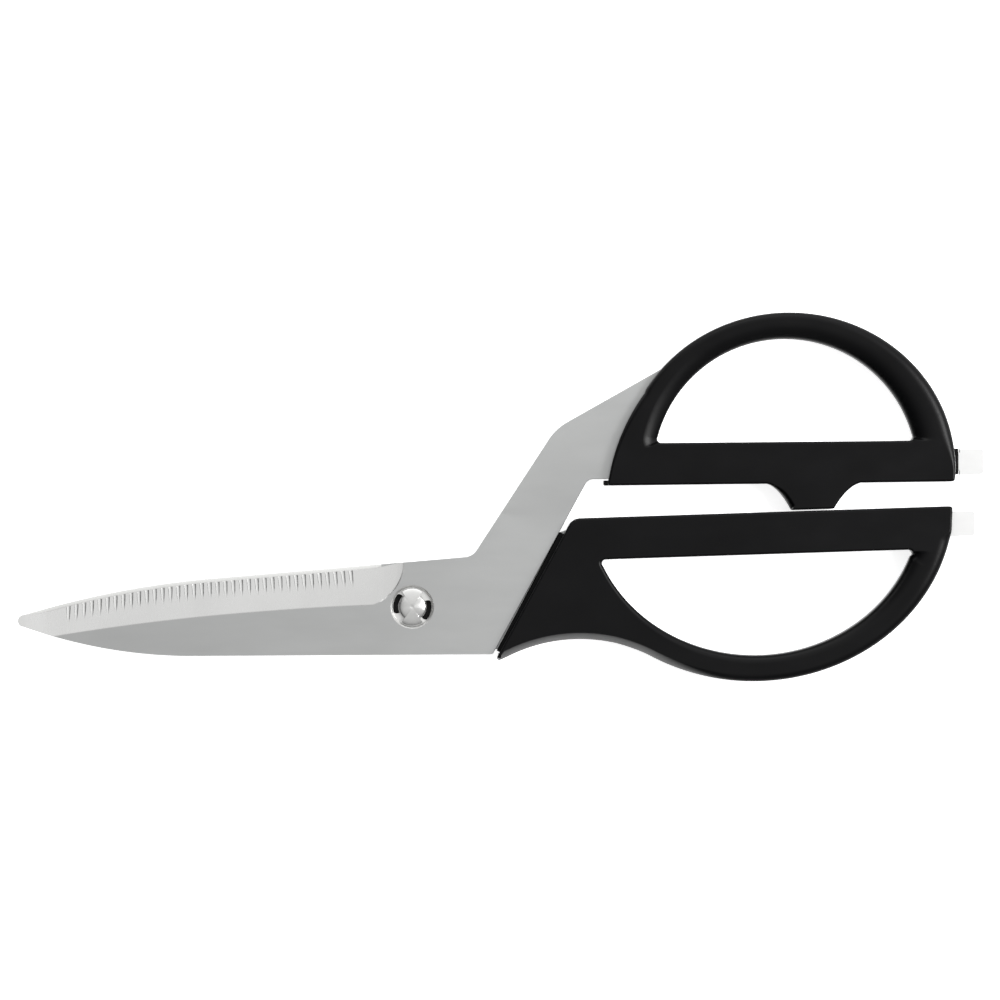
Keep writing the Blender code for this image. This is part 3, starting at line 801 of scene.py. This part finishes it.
def keyway_cutter(finish):
    """The front blade's bore, two notches for the wings and a recess for the head."""
    floor = FRONT_FACE_Z - HEAD_RECESS_DEPTH
    bore_r = STUD_R + STUD_RUNNING_GAP
    keyway = sector_radius(bore_r, KEYWAY_R, KEYWAY_CENTRES, KEYWAY_HALF, KEYWAY_ROUND)
    levels = (
        (keyway, FRONT_BLADE_Z - 1),
        (keyway, floor),
        (circle_radius(HEAD_RECESS_FLOOR_R), floor),
        (circle_radius(HEAD_RECESS_R), FRONT_FACE_Z - RECESS_CHAMFER),
        (circle_radius(HEAD_RECESS_R + RECESS_CHAMFER), FRONT_FACE_Z),
        (circle_radius(HEAD_RECESS_R + RECESS_CHAMFER), FRONT_FACE_Z + 1),
    )
    return stacked_rings("keyway_cut", levels, finish)


def stud_seat_cutter(finish):
    """The back blade's rivet hole, and the recess that holds the washer."""
    floor = BACK_FACE_Z - WASHER_THICK - GAP
    levels = (
        (circle_radius(STUD_R + SLOT_GAP), BACK_BLADE_Z - 1),
        (circle_radius(STUD_R + SLOT_GAP), floor),
        (circle_radius(WASHER_R + GAP), floor),
        (circle_radius(WASHER_R + GAP), BACK_FACE_Z + 1),
    )
    return stacked_rings("stud_seat_cut", levels, finish)


# Whole blades.


def front_blade(flat, ground, painted_light_machined):
    low, high = FRONT_BLADE_Z, FRONT_FACE_Z
    edge_z = low + EDGE_LAND
    outline = front_blade_outline()
    blade = prism("front_blade_ground", outline, low, high, flat, BLADE_CHAMFER)
    cut(blade, grind_cutter("front_grind_cut", front_edge_y, 1, high, edge_z, ground))
    cut(blade, serration_cutter(ground))
    cut(blade, keyway_cutter(painted_light_machined))
    return blade


def back_blade(flat, ground, painted_light_machined):
    low, high = BACK_BLADE_Z, BACK_FACE_Z
    edge_z = high - EDGE_LAND
    outline = back_blade_outline()
    blade = prism("back_blade_ground", outline, low, high, flat, BLADE_CHAMFER)
    cut(blade, grind_cutter("back_grind_cut", back_edge_y, -1, low, edge_z, ground))
    cut(blade, spine_cutter(painted_light_machined))
    cut(blade, stud_seat_cutter(painted_light_machined))
    return blade


# Finger loops.


def rounding_levels(outline, sign):
    """Loops of a rounded border, from the front flat down to the back flat.

    The outline holds (point, edge) pairs, where an edge is a width, a depth and a power.
    The sign is 1 where the material is on the left of the outline, and -1 on its right.
    """
    points = [point for point, _ in outline]
    levels = []
    descending = range(EDGE_STEPS, -1, -1)
    for front, steps in ((True, descending), (False, reversed(descending))):
        for step in steps:
            angle = math.pi / 2 * step / EDGE_STEPS
            across = max(0.0, math.cos(angle))
            shifts = [sign * edge[0] * (1 - across ** edge[2]) for _, edge in outline]
            level = []
            for (x, y), (_, edge) in zip(offset(points, shifts), outline, strict=True):
                drop = edge[1] * (1 - math.sin(angle) ** edge[2])
                level.append((x, y, HANDLE_THICK - drop if front else drop))
            levels.append(level)
    return levels


def loop_body(name, outer, inner, finish):
    """Plastic finger loop with flat faces and rounded borders."""
    points = []
    faces = []
    rims = []
    for outline, sign in ((outer, 1), (inner, -1)):
        size = len(outline)
        first = len(points)
        levels = rounding_levels(outline, sign)
        faces += [[first + i for i in face] for face in skin(levels)]
        points += [point for level in levels for point in level]
        rims.append((first, len(points) - size, size))
    for end in (0, 1):
        border = [range(rim[end], rim[end] + rim[2]) for rim in rims]
        corners = [i for side in border for i in side]
        flat = tessellate_polygon([[Vector(points[i]) for i in side] for side in border])
        faces += [[corners[i] for i in face] for face in flat]
    return mesh_object(name, points, faces, finish)


def edged(points, start, end=None, span=(0.0, 1.0)):
    """Pairs of each point and its edge, which turns from start to end within the span."""
    end = end or start
    pairs = []
    for i, point in enumerate(points):
        share = smooth_step((i / len(points) - span[0]) / (span[1] - span[0]))
        pairs.append((point, tuple(a + (b - a) * share for a, b in zip(start, end))))
    return pairs


def bumper_outline():
    """Stop under the upper bar: two hollow flanks and a flat foot on the lower bar."""
    foot_left = (98.1, 25.05)
    foot_right = (109.0, 25.4)
    left_top = (91.8, 31.86)
    right_top = (116.0, 32.15)
    left_control = (94.6, 31.4)
    right_control = (112.5, 31.4)
    left_flank = bezier(left_top, left_control, foot_left, 14)[:-1]
    left_foot = round_corner(left_control, foot_left, foot_right, 0.8, 9)
    right_foot = round_corner(foot_left, foot_right, right_control, 0.8, 9)
    right_flank = bezier(foot_right, right_control, right_top, 14)[2:]
    outline = edged(left_flank, BAR_EDGE, BUMPER_EDGE, (0.2, 0.8))
    outline += edged(left_foot, BUMPER_EDGE, BAR_EDGE)
    outline += edged(right_foot + right_flank + [right_top], BAR_EDGE)
    return outline


def upper_outline():
    """Outer border of the upper loop, counter-clockwise from the end of its arc."""
    crown = arc(UPPER_ARC_CENTRE, UPPER_ARC_R, 14, 151.3, 90)
    cheek = arc(UPPER_CHEEK_CENTRE, UPPER_CHEEK_R, 144.1, 171.6, 22)
    foot = round_corner((UPPER_BAR_LEFT[0], 36), UPPER_BAR_LEFT, UPPER_BAR_RIGHT, 0.7, 7)
    toe = round_corner(UPPER_BAR_LEFT, UPPER_BAR_RIGHT, (140.26, 36.1), 0.8, 8)
    end = arc(UPPER_ARC_CENTRE, UPPER_ARC_R, -3.0, 14, 14)
    outline = edged(crown, ARC_SIDE_EDGE, ARC_OUTER_EDGE, (0.1, 0.5))
    outline += edged(cheek, ARC_OUTER_EDGE, BAR_EDGE)
    outline += edged(foot, BAR_EDGE)
    outline += bumper_outline()
    outline += edged(toe, BAR_EDGE)
    outline += edged(end, BAR_EDGE, ARC_SIDE_EDGE)
    return outline


def upper_hole():
    """Border of the upper loop's hole, counter-clockwise from the end of its arc."""
    right = arc(UPPER_HOLE_CENTRE, UPPER_HOLE_R, 16, 88, 45)
    left = arc(UPPER_HOLE_CENTRE, UPPER_HOLE_R, 88, 165.4, 45)
    left_tangent = polar(UPPER_HOLE_LEFT, 10, 77.7)
    right_tangent = polar(UPPER_HOLE_RIGHT, 10, 103.3)
    heel = round_corner(left_tangent, UPPER_HOLE_LEFT, UPPER_HOLE_RIGHT, 1.0, 24)
    toe = round_corner(UPPER_HOLE_LEFT, UPPER_HOLE_RIGHT, right_tangent, 1.0, 24)
    outline = edged(right, UPPER_END_EDGE, UPPER_CROWN_EDGE)
    outline += edged(left, UPPER_CROWN_EDGE, UPPER_CHEEK_EDGE)
    outline += edged(heel, UPPER_CHEEK_EDGE, BAR_EDGE, HEEL_CREASE)
    outline += edged(toe, BAR_EDGE, UPPER_END_EDGE, TOE_CREASE)
    return outline


def ledge_point(distance, along):
    """Place at a distance from the pivot axis, along the lower loop's left edge."""
    angle = math.radians(LEDGE_ANGLE)
    x = distance * math.cos(angle) - along * math.sin(angle)
    return (x, distance * math.sin(angle) + along * math.cos(angle))


def lower_outline():
    """Outer border of the lower loop, clockwise from the right-hand end of its arc."""
    crown = arc(LOWER_ARC_CENTRE, LOWER_ARC_R, -13, -95, 56)
    hip = arc(LOWER_ARC_CENTRE, LOWER_ARC_R, -95, -121, 18)
    waist_start = polar(LOWER_ARC_CENTRE, LOWER_ARC_R, -121)
    waist_end = polar(LOWER_WAIST_CENTRE, LOWER_WAIST_R, 77)
    waist = bezier(waist_start, LOWER_WAIST_CONTROL, waist_end, 12)
    waist += arc(LOWER_WAIST_CENTRE, LOWER_WAIST_R, 77, 119, 24)
    side_low = ledge_point(LEDGE_R + LEDGE_WIDTH, 1.5)
    side_high = ledge_point(LEDGE_R + LEDGE_WIDTH, 33)
    toe = round_corner((27.3, -11.65), LOWER_TOE, side_low, 0.6, 8)
    shoulder = round_corner(side_high, LOWER_BAR_LEFT, LOWER_BAR_RIGHT, 3.5, 14)
    corner = round_corner(LOWER_BAR_LEFT, LOWER_BAR_RIGHT, (139.6, 20.0), 0.7, 7)
    end = arc(LOWER_ARC_CENTRE, LOWER_ARC_R, -9, -13, 4)
    outline = edged(crown, ARC_SIDE_EDGE, ARC_OUTER_EDGE, (0.1, 0.75))
    outline += edged(hip, ARC_OUTER_EDGE, WAIST_EDGE)
    outline += edged(waist, WAIST_EDGE)
    outline += edged(toe, WAIST_EDGE, BAR_EDGE)
    outline += edged(shoulder + corner, BAR_EDGE)
    outline += edged(end, BAR_EDGE, ARC_SIDE_EDGE)
    return outline[::-1]


def lower_hole():
    """Border of the lower loop's hole, clockwise from the right-hand end of its arc."""
    right = arc(LOWER_HOLE_CENTRE, LOWER_HOLE_R, -20, -85, 45)
    left = arc(LOWER_HOLE_CENTRE, LOWER_HOLE_R, -85, -156.3, 50)
    left_tangent = polar(LOWER_HOLE_LEFT, 10, -66)
    right_tangent = polar(LOWER_HOLE_RIGHT, 10, -109)
    heel = round_corner(left_tangent, LOWER_HOLE_LEFT, LOWER_HOLE_RIGHT, 1.0, 24)
    toe = round_corner(LOWER_HOLE_LEFT, LOWER_HOLE_RIGHT, right_tangent, 1.0, 24)
    outline = edged(right, LOWER_END_EDGE, LOWER_CROWN_EDGE)
    outline += edged(left, LOWER_CROWN_EDGE, LOWER_CHEEK_EDGE)
    outline += edged(heel, LOWER_CHEEK_EDGE, BAR_EDGE, HEEL_CREASE)
    outline += edged(toe, BAR_EDGE, LOWER_END_EDGE, TOE_CREASE)
    return outline[::-1]


def tang_slot(name, outline, low, high, finish):
    """Room for a blade's tang inside its loop."""
    wide = offset(outline, [-SLOT_GAP] * len(outline))
    return prism(name, wide, low - SLOT_GAP, high + SLOT_GAP, finish)


def upper_handle(finish):
    """Upper loop, with a collar round the tang's tip and a foot under the shank."""
    handle = loop_body("upper_loop_moulded", upper_outline(), upper_hole(), finish)
    low = FRONT_BLADE_Z - GAP - COVER
    high = FRONT_FACE_Z + GAP + COVER
    (left, right), (bottom, top) = COLLAR_X, COLLAR_Y
    collar = rounded(
        [
            (left, bottom, 0),
            (right, bottom, COLLAR_ROUND),
            (right, top, COLLAR_ROUND),
            (left, top, 0),
        ]
    )
    foot = rounded(UPPER_FOOT)
    cut(handle, prism("collar_join", collar, low, high, finish, 0.2), "UNION")
    cut(handle, prism("foot_join", foot, UPPER_FOOT_Z, high, finish), "UNION")
    tang = front_blade_outline()
    cut(handle, tang_slot("upper_slot", tang, FRONT_BLADE_Z, FRONT_FACE_Z, finish))
    return handle


def lower_handle(finish):
    """Lower loop, with the thin ledge along the front blade's shank."""
    handle = loop_body("lower_loop_moulded", lower_outline(), lower_hole(), finish)
    near, far = LEDGE_R, LEDGE_R + LEDGE_OVERLAP
    start, end = LEDGE_SPAN
    ledge = [
        ledge_point(near, start),
        ledge_point(far, start),
        ledge_point(far, end),
        ledge_point(near, end),
    ]
    low = BACK_FACE_Z + GAP - LEDGE_DROP
    cut(handle, prism("ledge_join", ledge, low, low + LEDGE_THICK, finish, 0.15), "UNION")
    tang = back_blade_outline()
    cut(handle, tang_slot("lower_slot", tang, BACK_BLADE_Z, BACK_FACE_Z, finish))
    return handle


# Stage.


def area_light(name, place, target, size, radiance):
    """Rectangular softbox that faces a target, with its brightness as seen in it."""
    lamp = bpy.data.lights.new(name, "AREA")
    lamp.shape = "RECTANGLE"
    lamp.size, lamp.size_y = size
    lamp.energy = radiance * math.pi * size[0] * size[1]
    holder = bpy.data.objects.new(name, lamp)
    holder.location = place
    aim = Vector(target) - Vector(place)
    holder.rotation_euler = aim.to_track_quat("-Z", "Y").to_euler()
    bpy.context.scene.collection.objects.link(holder)


def studio_world(plain, ahead, left, front):
    """Soft white surround: brighter towards +Y, darker towards -X and -Y.

    Each change runs between two values of one component of the direction.
    """
    world = bpy.data.worlds.new("studio")
    world.use_nodes = True
    tree = world.node_tree
    back = tree.nodes["Background"]
    place = tree.nodes.new("ShaderNodeTexCoord")
    axes = tree.nodes.new("ShaderNodeSeparateXYZ")
    tree.links.new(place.outputs["Generated"], axes.inputs["Vector"])
    glow = spread(tree, axes.outputs["Y"], plain, plain + ahead, 0.08, 0.42)
    left_shade = spread(tree, axes.outputs["X"], left, 1.0, -0.65, -0.25)
    front_shade = spread(tree, axes.outputs["Y"], front, 1.0, -0.5, -0.1)
    shade = multiply(tree, left_shade, front_shade)
    back.inputs["Color"].default_value = (1.0, 1.0, 1.0, 1.0)
    tree.links.new(multiply(tree, glow, shade), back.inputs["Strength"])
    bpy.context.scene.world = world


def floor(width, height, glow):
    """White floor with a little light of its own, which keeps the shadows on it faint."""
    made, tree, shader = shader_of("floor_white")
    grain = noise(tree, (300, 300, 300), detail=2.0)
    tone = blend_colours(tree, grain, (0.92, 0.92, 0.92), (0.94, 0.94, 0.94))
    tree.links.new(tone, shader.inputs["Base Color"])
    shader.inputs["Roughness"].default_value = 0.9
    shader.inputs["Specular IOR Level"].default_value = 0.0
    shader.inputs["Emission Color"].default_value = (1.0, 1.0, 1.0, 1.0)
    shader.inputs["Emission Strength"].default_value = glow
    half = width / 2
    plan = ((-half, -half), (half, -half), (half, half), (-half, half))
    corners = [(x, y, height) for x, y in plan]
    plane = mesh_object("studio_floor", corners, [[0, 1, 2, 3]], made)


def camera(low, high):
    """Camera straight above the middle of the shears."""
    lens = bpy.data.cameras.new("front_camera")
    lens.sensor_width = SENSOR_WIDTH
    lens.lens = SENSOR_WIDTH * CAMERA_HEIGHT / FRAME_WIDTH
    holder = bpy.data.objects.new("front_camera", lens)
    middle = (low + high) / 2
    holder.location = (
        middle.x + LOOK_SHIFT[0] * MM,
        middle.y + LOOK_SHIFT[1] * MM,
        FRONT_FACE_Z * MM + CAMERA_HEIGHT,
    )
    bpy.context.scene.collection.objects.link(holder)
    bpy.context.scene.camera = holder


def build():
    """Makes the finishes, then each piece, and puts it on its body in the frame."""
    flat = ground_steel(
        "blade_steel_flat",
        (0.43, 0.435, 0.432),
        roughness=0.34,
        lines=(180, 6000, 6000),
        cloud=(45, 160, 160),
        anisotropy=0.3,
    )
    # The bevel's steel: smoother, with its own grind lines, and a little lighter than the flat
    # steel as painted light.
    ground = ground_steel(
        "blade_steel_ground_painted_light",
        (0.45, 0.45, 0.445),
        roughness=0.28,
        lines=(3000, 250, 250),
        cloud=(60, 60, 60),
        anisotropy=0.2,
        relief_share=0.01,
    )
    # Cut faces (spine chamfer, keyway, recesses): rougher machined steel, and lighter than the
    # flat steel as painted light, so that they read brighter.
    painted_light_machined = ground_steel(
        "blade_steel_painted_light_machined",
        (0.62, 0.62, 0.61),
        roughness=0.45,
        lines=(3000, 3000, 400),
        cloud=(90, 90, 90),
    )
    # Much lighter than the blade steel: a painted reflection that makes the tang ends look
    # nearly white.
    painted_reflection_steel = ground_steel(
        "tang_painted_reflection_steel",
        (0.8, 0.8, 0.795),
        roughness=0.3,
        lines=(220, 5000, 5000),
        cloud=(80, 160, 160),
    )
    turned = turned_steel("stud_turned", (0.64, 0.64, 0.63), roughness=0.24)
    black = moulded_plastic(
        "loop_black", (0.0012, 0.0012, 0.0014), roughness=0.32, gloss=0.12, grain_depth=0.1
    )
    nylon = moulded_plastic(
        "washer_black", (0.006, 0.006, 0.006), roughness=0.55, gloss=0.15, grain_depth=0.2
    )

    for make, node, body, tip_start_x in (
        (front_blade, "front_blade", "front_half", COLLAR_X[1]),
        (back_blade, "back_blade", "back_half", LOWER_LOOP_END_X),
    ):
        blade = make(flat, ground, painted_light_machined)
        brighten_tip(blade, tip_start_x, painted_reflection_steel)
        finish_shading(blade)
        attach(blade, body)
        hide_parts(node)
    for make, node, body in (
        (upper_handle, "upper_handle", "front_half"),
        (lower_handle, "lower_handle", "back_half"),
    ):
        loop = make(black)
        finish_shading(loop)
        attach(loop, body)
        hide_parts(node)
    stud = pivot_stud(turned)
    finish_shading(stud)
    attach(stud, "back_half")
    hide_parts("pivot_stud")
    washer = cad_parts["pivot_washer"]
    washer.data.materials.clear()
    washer.data.materials.append(nylon)


build()
camera(*CAD_BOUNDS)
floor(width=6000.0, height=-0.05, glow=0.8)
studio_world(plain=0.9, ahead=0.65, left=0.12, front=0.45)
area_light("right_softbox", (0.6, 0.1, 0.6), (0.08, 0.03, 0), (0.36, 0.28), 20.0)
area_light("left_softbox", (-0.6, 0.7, 0.3), (0, 0.03, 0), (0.4, 0.2), 3.2)
area_light("top_softbox", (0.0, 0.9, 0.6), (0.02, 0, 0), (1.0, 0.4), 1.5)
bpy.context.scene.view_settings.view_transform = "Standard"
